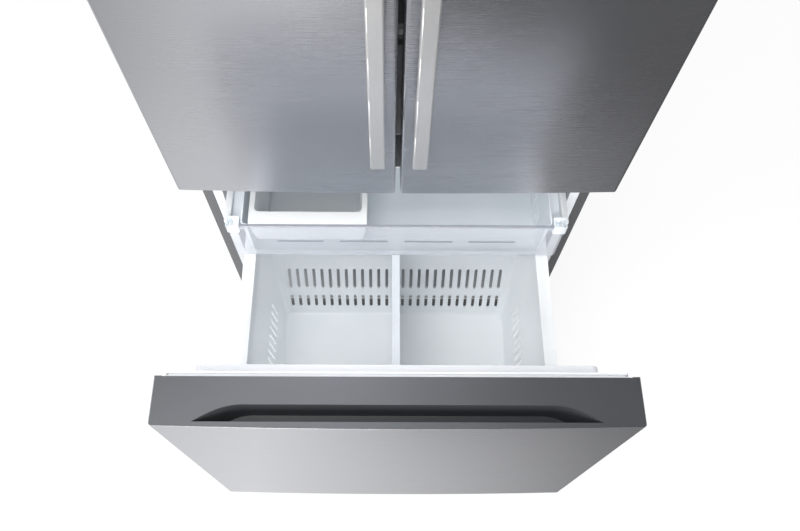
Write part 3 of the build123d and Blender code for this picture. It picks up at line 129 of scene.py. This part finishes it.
class Finish(Nodes):
    """A procedural material: its nodes, and the values of its shader."""

    def __init__(self, name, colour, roughness, **values):
        self.material = bpy.data.materials.new(name)
        self.material.use_nodes = True
        super().__init__(self.material.node_tree)
        self.shader = self.tree.nodes["Principled BSDF"]
        self.colour = colour
        self.set(Base_Color=(*colour, 1.0), Roughness=roughness, **values)

    def set(self, **values):
        """Values or wires for the shader's sockets, with _ for each space."""
        for label, value in values.items():
            self.feed(self.shader.inputs[label.replace("_", " ")], value)

    def place(self, scale=(1, 1, 1)):
        """Object coordinates, in metres and stretched."""
        at = self.node("ShaderNodeTexCoord", out="Object")
        return self.node("ShaderNodeMapping", sockets={"Vector": at, "Scale": scale})

    def axis(self, letter):
        return self.letter(self.place(), letter)

    def noise(self, scale, detail=3.0, rough=0.55):
        sockets = {"Vector": self.place(scale), "Scale": 1.0, "Detail": detail, "Roughness": rough}
        return self.node("ShaderNodeTexNoise", sockets=sockets)

    def mix(self, factor, first, second):
        """A colour between two colours."""
        sockets = {0: factor}
        for slot, colour in ((6, first), (7, second)):
            sockets[slot] = colour if isinstance(colour, Wire) else (*colour, 1.0)
        return self.node("ShaderNodeMix", {"data_type": "RGBA"}, sockets, out=2)

    def vary(self, level, low, high):
        """Let the finish's own colour run from low to high times itself."""
        dark, light = (tuple(min(1.0, c * k) for c in self.colour) for k in (low, high))
        return self.mix(level, dark, light)

    def bump(self, height, distance, strength=1.0):
        sockets = {"Height": height, "Distance": distance, "Strength": strength}
        self.set(Normal=self.node("ShaderNodeBump", sockets=sockets))


def link(name, data):
    """A new object in the scene."""
    made = bpy.data.objects.new(name, data)
    scene.collection.objects.link(made)
    return made


# The floor's mirrored level fans out from under the camera. It has one row of
# stops, from left to right, near the drawer and one for the room beyond it.
floor_paint = Finish("floor_paint", (0.93, 0.93, 0.93), 0.9)
floor_side = floor_paint.axis("X")
floor_depth = floor_paint.axis("Y").maths("MINIMUM", 1.0)
fan_half, fan_start, fan_growth = 0.45, 2.0, 0.75
sweep = (floor_side / (fan_start - floor_depth * fan_growth)).rise(-fan_half, fan_half)
near_stops = ((0.0, 0.72), (0.32, 0.95), (0.55, 0.62), (0.76, 0.30), (1.0, 0.11))
far_stops = ((0.0, 0.42), (0.36, 1.0), (0.45, 0.68), (0.535, 0.08), (1.0, 0.11))
far_y, near_y = -1.10, -0.84
close_by = floor_depth.rise(far_y, near_y)
near_floor = floor_paint.ramp(sweep, near_stops)
far_floor = floor_paint.ramp(sweep, far_stops)
mirror_level = near_floor * close_by + far_floor * (1.0 - close_by)
mirrored = floor_paint.node("ShaderNodeEmission", sockets={"Strength": mirror_level})
white = floor_paint.node("ShaderNodeEmission", sockets={"Strength": 1.0})
white_share = 0.86
seen_white = (floor_paint.ray("Camera") + floor_paint.ray("Transmission")) * white_share
painted = Wire(floor_paint, floor_paint.shader.outputs[0])
pale = floor_paint.node("ShaderNodeMixShader", sockets={0: seen_white, 1: painted, 2: white})
stage_shader = {0: floor_paint.ray("Glossy"), 1: pale, 2: mirrored}
stage_look = floor_paint.node("ShaderNodeMixShader", sockets=stage_shader)
floor_paint.feed(floor_paint.tree.nodes["Material Output"].inputs["Surface"], stage_look)

floor_half = 9
floor_mesh = bpy.data.meshes.new("floor")
floor_corners = [(x * floor_half, y * floor_half, 0) for x, y in ((-1, -1), (1, -1), (1, 1), (-1, 1))]
floor_mesh.from_pydata(floor_corners, [], [(0, 1, 2, 3)])
floor = link("floor", floor_mesh)
floor.data.materials.append(floor_paint.material)

world = bpy.data.worlds.new("studio")
world.use_nodes = True
scene.world = world
sky = Nodes(world.node_tree)
sky_way = sky.node("ShaderNodeTexCoord", out="Generated")
sky_half = 0.55
sky_side = sky.letter(sky_way, "X").rise(-sky_half, sky_half)
sky_mirror = sky.ramp(sky_side, ((0.0, 1.0), (0.35, 0.70), (0.7, 0.30), (1.0, 0.12)))
sky_light = 0.66
sky_seen, sky_glossy, sky_through = (sky.ray(kind) for kind in ("Camera", "Glossy", "Transmission"))
plain_sky = sky_light * (1.0 - sky_seen) * (1.0 - sky_glossy) * (1.0 - sky_through)
sky_level = plain_sky + sky_seen + sky_through + sky_glossy * sky_mirror
sky.feed(world.node_tree.nodes["Background"].inputs["Color"], (1, 1, 1, 1))
sky.feed(world.node_tree.nodes["Background"].inputs["Strength"], sky_level)


def soft_box(name, place, target, size, power):
    """A square area lamp that faces its target."""
    lamp = bpy.data.lights.new(name, "AREA")
    lamp.size = size
    lamp.energy = power
    holder = link(name, lamp)
    holder.location = place
    holder.rotation_euler = (Vector(target) - Vector(place)).to_track_quat("-Z", "Y").to_euler()


soft_box("left_box", (-2.6, -1.2, 2.4), (0, -0.2, 0.8), 1.6, 14)
soft_box("top_box", (-0.6, -1.1, 3.0), (0, -0.2, 0.4), 1.6, 43)
soft_box("front_box", (-0.2, -3.0, 2.0), (0, 0.0, 0.5), 1.8, 108)

# The camera stands where the photograph's vanishing points and edges put it;
# the shift moves its centre to the photograph's.
photo_width, photo_height = 800, 531
focal_px = 644.01
centre_px = (391.23, 377.81)
eye = Vector((-0.01852, -0.94162, 1.83301))
right_way = Vector((0.99997866, 0.00170671, 0.00630562))
up_way = Vector((-0.00380543, 0.93676608, 0.34993546))
lens = bpy.data.cameras.new("camera")
lens.sensor_fit = "HORIZONTAL"
lens.sensor_width = 36.0
lens.lens = focal_px * lens.sensor_width / photo_width
lens.shift_x = (photo_width / 2 - centre_px[0]) / photo_width
lens.shift_y = (centre_px[1] - photo_height / 2) / photo_width
lens.clip_start = 0.02
camera = link("camera", lens)
turn = Matrix((right_way, up_way, right_way.cross(up_way))).transposed().to_4x4()
camera.matrix_world = Matrix.Translation(eye) @ turn
scene.camera = camera

# ------------------------------------------------- stainless doors and drawer
# The skins of both doors and of the drawer front are thin stainless sheet,
# brushed along the width, bowed a little and folded round the sides. The
# brush marks are fine, and a few longer ones run among them.


def dress(finish, *names):
    """Give CAD nodes a finish."""
    for name in names:
        for slot in nodes[name].material_slots:
            slot.material = finish.material


def brushed(name, colour, roughness, grain, contrast=0.08, **values):
    """Brushed metal; grain is the stretch of the brush marks along X, Y and Z."""
    finish = Finish(name, colour, roughness, **{"Metallic": 1.0, **values})
    fine = finish.noise(grain, 4.0, 0.7)
    cloud = finish.noise((2.2, 2.2, 3.1), 2.0)
    long_marks = finish.noise(tuple(g * 0.5 for g in grain), 3.0, 0.6)
    tone = fine * 0.6 + long_marks * 0.25 + cloud * 0.15
    finish.set(Base_Color=finish.vary(tone.rise(0.3, 0.7), 1 - contrast, 1 + contrast))
    fine_rough, cloud_rough = 0.025, 0.04
    smoothest = roughness - (fine_rough + cloud_rough) / 2
    finish.set(Roughness=fine * fine_rough + cloud * cloud_rough + smoothest)
    finish.bump(fine + long_marks * 0.3, 0.00001, 0.03)
    return finish


steel = brushed("brushed_stainless", (0.610, 0.615, 0.650), 0.27, (12, 12, 1900), 0.006)
dress(steel, "left_door_skin", "right_door_skin", "drawer_skin")

# --------------------------------------------------------------- door handles
# Each handle is a flat bar of satin-anodised aluminium with eased edges on two
# oblong posts, finished along its length and paler than the doors.
bar_metal = brushed("satin_bar", (0.69, 0.688, 0.69), 0.34, (900, 900, 14), 0.04, Metallic=0.86)
dress(bar_metal, "left_door_handle", "right_door_handle")

# ------------------------------------------------------- grey moulded caps
# The caps that close the skins are moulded and painted a metallic grey. The drawer's top cap has the
# pocket grip, whose cup is coloured near black and not metallic: painted shade in the recess.
cap_grey = Finish("grey_cap", (0.120, 0.125, 0.134), 0.40)
cap_flow = cap_grey.noise((3.0, 3.0, 3.0), 3.0)
cap_fleck = cap_grey.noise((1500.0, 1500.0, 1500.0), 2.0)
cup_front, cup_back = -0.6125, -0.5720
cup_low, cup_top = 0.6555, 0.7063
cup_half, cup_edge = 0.378, 0.0003
# Mask of the pocket's cup, where painted shade darkens the recess.
painted_pocket_shade = cap_grey.axis("Y").band(cup_front, cup_back, cup_edge)
painted_pocket_shade = painted_pocket_shade * cap_grey.axis("Z").band(cup_low, cup_top, cup_edge)
painted_pocket_shade = painted_pocket_shade * (1.0 - cap_grey.axis("X").size().rise(cup_half, cup_half + 0.001))
# Near black for the painted shade in the pocket's cup.
pocket_shade_black = (0.030, 0.032, 0.036)
cap_tone = cap_grey.vary((cap_flow * 0.6 + cap_fleck * 0.4).rise(0.3, 0.7), 0.92, 1.08)
cap_grey.set(Base_Color=cap_grey.mix(painted_pocket_shade, cap_tone, pocket_shade_black))
cap_grey.set(Metallic=(1.0 - painted_pocket_shade) * 0.85, Roughness=cap_flow * 0.1 + 0.37)
cap_grey.bump(cap_fleck, 0.00003, 0.4)
dress(cap_grey, "drawer_caps", "left_door_caps", "right_door_caps")

# -------------------------------------------------- hinge covers and grille
# The covers over the top hinges and the slotted grille under the drawer are
# moulded in a plain dark grey plastic and snap or screw on.


def moulded(name, colour, roughness, skin=0.0, grain=2600.0, **values):
    """Moulded plastic or paint with a faint flow of tone and a fine skin texture."""
    finish = Finish(name, colour, roughness, **values)
    flow = finish.noise((3.0, 3.0, 3.0), 3.0)
    finish.set(Base_Color=finish.vary(flow.rise(0.3, 0.7), 0.96, 1.04))
    rough_swing = 0.10
    finish.set(Roughness=flow * rough_swing + (roughness - rough_swing / 2))
    if skin:
        finish.bump(finish.noise((grain, grain, grain), 2.0), skin, 0.5)
    return finish


trim_grey = moulded("trim_grey", (0.115, 0.12, 0.128), 0.45, 0.00005)
dress(trim_grey, "hinge_covers", "toe_grille")

# ---------------------------------------------------------------- case panels
# The sides and the top are folded steel sheet, coated a metallic grey with a fine orange-peel surface;
# their front flanges show beside the drawer. The bar between the compartments is coloured near black as
# painted shade for the deep gap between the doors.
case_paint = moulded("case_paint", (0.21, 0.214, 0.222), 0.40, 0.00004, 900.0, Metallic=0.7)
dress(case_paint, "left_side_panel", "right_side_panel", "top_panel")
# Near black on the mullion bar: painted shade for the gap between the doors.
mullion_paint = moulded("mullion_paint", (0.05, 0.051, 0.055), 0.5, 0.00003, 900.0)
dress(mullion_paint, "mullion_bar")

# --------------------------------------------------- back, base and brackets
# The back, the machine compartment's slotted cover, the base pan and the
# roller brackets are galvanised sheet, screwed or pressed together.


def zinc(name, colour, roughness):
    """Galvanised sheet, with its spangle of dull crystals."""
    finish = Finish(name, colour, roughness, Metallic=0.85)
    crystals = finish.place((160, 160, 160))
    spangle = finish.node("ShaderNodeTexVoronoi", sockets={"Vector": crystals, "Scale": 1.0}, out="Color")
    level = finish.node("ShaderNodeSeparateColor", sockets={0: spangle})
    finish.set(Base_Color=finish.vary(level, 0.82, 1.12), Roughness=level * 0.18 + roughness)
    return finish


galvanised = zinc("galvanised_sheet", (0.62, 0.63, 0.64), 0.34)
dress(galvanised, "rear_panel", "machine_cover", "base_pan", "roller_brackets", "shelf_tracks")

# -------------------------------------------------------------- white liners
# The compartments, the evaporator cover, the air duct and the inner panels of the doors and drawer are
# formed or moulded in a cool white plastic. Its colour is set darker than the baskets' same white, as
# painted shade that keeps the brightly lit liners from turning full white.
# Darker than the baskets' white: painted shade on the liners.
liner_white = moulded("liner_white", (0.735, 0.755, 0.782), 0.30, 0.00002, 1800.0)
dress(liner_white, "fridge_liner", "freezer_liner", "evaporator_cover", "air_duct")
dress(liner_white, "left_door_liner", "right_door_liner", "drawer_liner", "basket_tracks")

# ------------------------------------------------------------------- baskets
# The baskets and the ice bin are injection-moulded in a cool white plastic that
# lets a little light through; the upper basket's corner brackets are clearer.
basket_white = moulded("basket_white", (0.895, 0.935, 0.97), 0.32, 0.00002, 1800.0)
basket_white.set(Subsurface_Weight=0.6, Subsurface_Radius=(1.0, 1.0, 1.0), Subsurface_Scale=0.008)
dress(basket_white, "lower_basket", "ice_bin")
corner_white = moulded("corner_white", (0.875, 0.925, 0.965), 0.26, 0.00002, 1800.0)
bracket_half, bracket_back = 0.373, -0.090
bracket = corner_white.axis("X").size().rise(bracket_half - 0.0005, bracket_half + 0.0005)
bracket = bracket * (1.0 - corner_white.axis("Y").rise(bracket_back - 0.001, bracket_back + 0.001))
corner_white.set(Alpha=1.0 - bracket * 0.5)
dress(corner_white, "upper_basket")

# ------------------------------------------------------------------ clear front
# The upper basket's front is clear polystyrene, faintly milky. Its rolled top edge and the lower edges of
# its slots are coloured darker and more opaque: painted shade under the lip and in the slots.
front_colour, edge_shade_colour = (0.66, 0.68, 0.74), (0.32, 0.33, 0.38)
front_slots = ((0.0205, 0.132), (0.170, 0.279))
slot_low, slot_high = 0.5262, 0.5276
rolled_low, rolled_high = 0.5915, 0.5925
front_clear = Finish("clear_front", front_colour, 0.10)
front_flow = front_clear.noise((5.0, 5.0, 5.0), 2.0)
front_side = front_clear.axis("X").size()
slot_reach = sum(front_side.band(start, end, 0.0004) for start, end in front_slots)
# Bands at the slots' lower edges and along the rolled top, darkened as painted shade.
slot_shade = front_clear.axis("Z").band(slot_low, slot_high, 0.0002) * slot_reach
painted_edge_shade = front_clear.axis("Z").rise(rolled_low, rolled_high) + slot_shade
front_clear.set(Alpha=front_flow * 0.06 + 0.27 + painted_edge_shade * 0.5, Roughness=front_flow * 0.06 + 0.08)
front_clear.set(Base_Color=front_clear.mix(painted_edge_shade, front_colour, edge_shade_colour))
front_clear.set(Coat_Weight=0.5, Coat_Roughness=0.05)
dress(front_clear, "upper_basket_front")

# ------------------------------------------------- divider, bins and drawers
# The basket's divider is milky; the door bins, the crispers and the pantry
# drawer are clear. All are moulded polystyrene with a glossy skin.


def clear(name, colour, alpha, roughness):
    """Clear or milky moulding with a glossy skin."""
    finish = Finish(name, colour, roughness)
    flow = finish.noise((5.0, 5.0, 5.0), 2.0)
    alpha_swing = 0.08
    finish.set(Alpha=flow * alpha_swing + (alpha - alpha_swing / 2), Roughness=flow * 0.06 + roughness)
    finish.set(Coat_Weight=0.4, Coat_Roughness=0.05)
    return finish


divider_milk = clear("divider_milk", (0.80, 0.84, 0.88), 0.80, 0.2)
dress(divider_milk, "basket_divider")
crystal = clear("clear_bins", (0.80, 0.87, 0.92), 0.34, 0.08)
dress(crystal, "left_door_bins", "right_door_bins", "crispers", "pantry_drawer")

# --------------------------------------------------------------------- shelves
# Each shelf is a pane of tempered glass with its greenish tint, held in a white
# moulded frame; the full-width ones stand over and under the crispers.


def corners(name):
    """The low and the high corner of a CAD node's box."""
    return (Vector(corner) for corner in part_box(name))


glass_green, frame_white = (0.74, 0.86, 0.85), (0.86, 0.88, 0.90)
frame_width = 0.016
pane_back = 0.5275
centre_frame = 0.022
half_width_from = 1.095
shelf_look = Finish("framed_glass", glass_green, 0.06)
low_corner, high_corner = corners("glass_shelves")
shelf_side = shelf_look.axis("X").size()
pane_outer = high_corner.x - frame_width
within = 1.0 - shelf_side.rise(pane_outer - 0.004, pane_outer)
half_width = shelf_look.axis("Z").rise(half_width_from - 0.001, half_width_from + 0.001)
middle = 1.0 - shelf_side.rise(centre_frame - 0.0005, centre_frame + 0.0005)
pane_x = within * (1.0 - half_width * middle)
pane_y = shelf_look.axis("Y").band(low_corner.y + frame_width, pane_back - frame_width, 0.0004)
pane = pane_x * pane_y
shelf_flow = shelf_look.noise((4.0, 4.0, 4.0), 2.0)
shelf_look.set(Base_Color=shelf_look.mix(pane, frame_white, glass_green))
shelf_look.set(Alpha=1.0 - pane * (0.72 - shelf_flow * 0.06), Roughness=0.3 - pane * 0.25)
dress(shelf_look, "glass_shelves")

# ---------------------------------------------------------------------- seals
# The magnetic seals are soft vinyl with the magnet in their front strip. Behind the doors they are
# coloured black as painted shade for the gap between the doors; behind the drawer front they are nearly
# white.
# Black door seals: painted shade for the gap between the doors.
door_seal_shade = moulded("seal_grey", (0.03, 0.031, 0.033), 0.5, 0.00003)
dress(door_seal_shade, "left_door_gasket", "right_door_gasket")
seal_light = moulded("seal_light", (0.66, 0.68, 0.70), 0.5, 0.00003)
dress(seal_light, "drawer_gasket")

# -------------------------------------------------------------- running gear
# The slides are roll-formed, zinc-plated steel; the upper basket's runners,
# the racks and the cross shaft with its pinions are pale acetal plastic.
plated = brushed("plated_steel", (0.70, 0.71, 0.73), 0.30, (500, 12, 500))
dress(plated, "drawer_rails", "drawer_slide_middle", "drawer_slide_fixed", "door_hinges")
acetal = moulded("pale_acetal", (0.80, 0.82, 0.84), 0.35)
dress(acetal, "drawer_racks", "anti_tilt_shaft", "upper_basket_slides")

# ------------------------------------------- cooling parts, feet and rollers
# The coil is aluminium tube. The compressor and the condenser are painted
# black. The fans and their shroud, the strip between the doors, the feet and
# the rollers are dark moulded plastic.
coil_metal = zinc("coil_metal", (0.66, 0.67, 0.68), 0.25)
dress(coil_metal, "evaporator_coil")
dark_plastic = moulded("dark_plastic", (0.03, 0.031, 0.034), 0.4, 0.00003)
dress(dark_plastic, "evaporator_fan", "condenser_fan", "fan_shroud", "flipper_mullion", "flipper_hinges")
dress(dark_plastic, "left_foot", "right_foot", "left_roller", "right_roller")
black_steel = moulded("black_steel", (0.02, 0.02, 0.022), 0.3, 0.00005, 700.0)
dress(black_steel, "compressor", "condenser_coil")

# ------------------------------------------------------------------ coil fins
# Thin aluminium fins are pressed on the evaporator's tubes, a few millimetres
# apart, and finer ones fill the condenser between its plates.


class Growth(Nodes):
    """A Geometry Nodes tree with named inputs that ends in real mesh with a finish."""

    def __init__(self, name, finish, **inputs):
        super().__init__(bpy.data.node_groups.new(name, "GeometryNodeTree"))
        self.finish = finish
        ports = self.tree.interface
        ports.new_socket("Geometry", in_out="INPUT", socket_type="NodeSocketGeometry")
        ports.new_socket("Geometry", in_out="OUTPUT", socket_type="NodeSocketGeometry")
        for label, kind in inputs.items():
            ports.new_socket(label, in_out="INPUT", socket_type="NodeSocket" + kind)
        self.entry = self.tree.nodes.new("NodeGroupInput")

    def given(self, label):
        return Wire(self, self.entry.outputs[label])

    def vector(self, x=0.0, y=0.0, z=0.0):
        return self.node("ShaderNodeCombineXYZ", sockets={0: x, 1: y, 2: z})

    def shape(self, kind, **sockets):
        """A Geometry Nodes node, named without its prefix, and its sockets."""
        return self.node("GeometryNode" + kind, sockets=sockets)

    def knife(self, operation, first, *others):
        """The union of shapes, or the first one cut by the others."""
        made = self.node("GeometryNodeMeshBoolean", {"operation": operation})
        sockets = made.socket.node.inputs
        if first:
            self.feed(sockets["Mesh 1"], first)
        for other in others:
            self.feed(sockets["Mesh 2"], other)
        return made

    def close(self, geometry):
        real = self.shape("RealizeInstances", Geometry=geometry)
        dressed = self.shape("SetMaterial", Geometry=real, Material=self.finish.material)
        self.feed(self.tree.nodes.new("NodeGroupOutput").inputs[0], dressed)

    def grow(self, name, body, slot, seeds, facing=None, **values):
        """Run the tree on seed points and keep the result as one plain mesh."""
        seed_mesh = bpy.data.meshes.new(name + "_seeds")
        seed_mesh.from_pydata(seeds, [], [])
        if facing:
            ways = seed_mesh.attributes.new("facing", "FLOAT_VECTOR", "POINT")
            ways.data.foreach_set("vector", [c for _ in seeds for c in facing])
        seed = link(name + "_seeds", seed_mesh)
        modifier = seed.modifiers.new("grow", "NODES")
        modifier.node_group = self.tree
        for port in self.tree.interface.items_tree:
            if port.name in values:
                modifier[port.identifier] = values[port.name]
        evaluated = seed.evaluated_get(bpy.context.evaluated_depsgraph_get())
        mesh = bpy.data.meshes.new_from_object(evaluated)
        seed.modifiers.remove(modifier)
        bpy.data.objects.remove(seed)
        piece = link(name, mesh)
        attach(piece, body)


fin_metal = brushed("fin_aluminium", (0.78, 0.785, 0.79), 0.32, (60, 60, 900))
fins = Growth("fin_row", fin_metal, Count="Int", Pitch="Float", Size="Vector")
line = fins.shape("MeshLine", Count=fins.given("Count"), Offset=fins.vector(fins.given("Pitch")))
fin = fins.shape("MeshCube", Size=fins.given("Size"))
row = fins.shape("InstanceOnPoints", Points=line, Instance=fin)
rows = fins.shape("InstanceOnPoints", Points=fins.given("Geometry"), Instance=row)
fins.close(rows)

fin_sheet = 0.0004
tube_stack_depth, tube_stack_height = 0.034, 0.122
first_fin = (-0.256, 0.5565, 0.417)
fins.grow(
    "evaporator_fins", "cabinet", "coil", [first_fin],
    Count=74, Pitch=0.007, Size=(fin_sheet, tube_stack_depth, tube_stack_height),
)

low_corner, high_corner = corners("condenser_coil")
side_plate, edge_gap = 0.016, 0.002
fin_depth = high_corner.y - low_corner.y - 2 * edge_gap
fin_height = high_corner.z - low_corner.z - 2 * edge_gap
first_fin = (low_corner.x + side_plate, *((low_corner + high_corner) / 2).yz)
fins.grow(
    "condenser_fins", "cabinet", "black_steel", [first_fin],
    Count=49, Pitch=0.004, Size=(fin_sheet, fin_depth, fin_height),
)

# --------------------------------------------------------------------- screws
# Pan-head screws with a cross recess, zinc-plated: round the evaporator cover,
# down the shelf tracks, and at the ends of the toe grille.
screw_zinc = zinc("screw_zinc", (0.72, 0.73, 0.74), 0.28)
screws = Growth("pan_heads", screw_zinc, Radius="Float", Height="Float")
radius = screws.given("Radius")
height = screws.given("Height")
disc = screws.shape("MeshCylinder", Vertices=28, Radius=radius, Depth=height)
ball = screws.shape("MeshUVSphere", Segments=28, Rings=10, Radius=radius)
dome = screws.shape("Transform", Geometry=ball, Scale=screws.vector(0.93, 0.93, 0.42))
bar = screws.shape("MeshCube", Size=screws.vector(radius * 1.1, radius * 0.22, height * 2.4))
first_slit = screws.shape("Transform", Geometry=bar, Translation=screws.vector(z=height * 1.5))
second_slit = screws.shape("Transform", Geometry=first_slit, Rotation=(0.0, 0.0, math.radians(90)))
head = screws.knife("UNION", None, disc, dome)
head = screws.knife("DIFFERENCE", head, first_slit, second_slit)
facing_kind = {"data_type": "FLOAT_VECTOR"}
facing_way = screws.node("GeometryNodeInputNamedAttribute", facing_kind, {"Name": "facing"})
turned = screws.node("FunctionNodeAlignRotationToVector", {"axis": "Z"}, {"Vector": facing_way})
heads = screws.shape("InstanceOnPoints", Points=screws.given("Geometry"), Instance=head, Rotation=turned)
screws.close(heads)

cover_inset = 0.012
low_corner, high_corner = corners("evaporator_cover")
seeds = [
    (x, low_corner.y, z)
    for x in (low_corner.x + cover_inset, high_corner.x - cover_inset)
    for z in (low_corner.z + cover_inset, (low_corner.z + high_corner.z) / 2, high_corner.z - cover_inset)
]
track_half, inner_track_x = 0.009, 0.110
track_screw_heights = (0.060, 0.240, 0.480)
low_corner, high_corner = corners("shelf_tracks")
seeds += [
    (side * x, low_corner.y, low_corner.z + z)
    for side in (-1, 1)
    for x in (high_corner.x - track_half, inner_track_x)
    for z in track_screw_heights
]
grille_inset, grille_screw_z = 0.015, 0.035
low_corner, high_corner = corners("toe_grille")
seeds += [(side * (high_corner.x - grille_inset), low_corner.y, grille_screw_z) for side in (-1, 1)]
screws.grow("cabinet_screws", "cabinet", "galvanized", seeds, (0, -1, 0), Radius=0.0036, Height=0.0012)

# ------------------------------------------------------------------ insulation
# The insulation is foamed in place between the steel case and the liners. It
# is closed-cell polyurethane, straw yellow, with a coarse skin.
foam = moulded("yellow_foam", (0.80, 0.72, 0.48), 0.85, 0.0004, 500.0)
dress(foam, "insulation_foam")
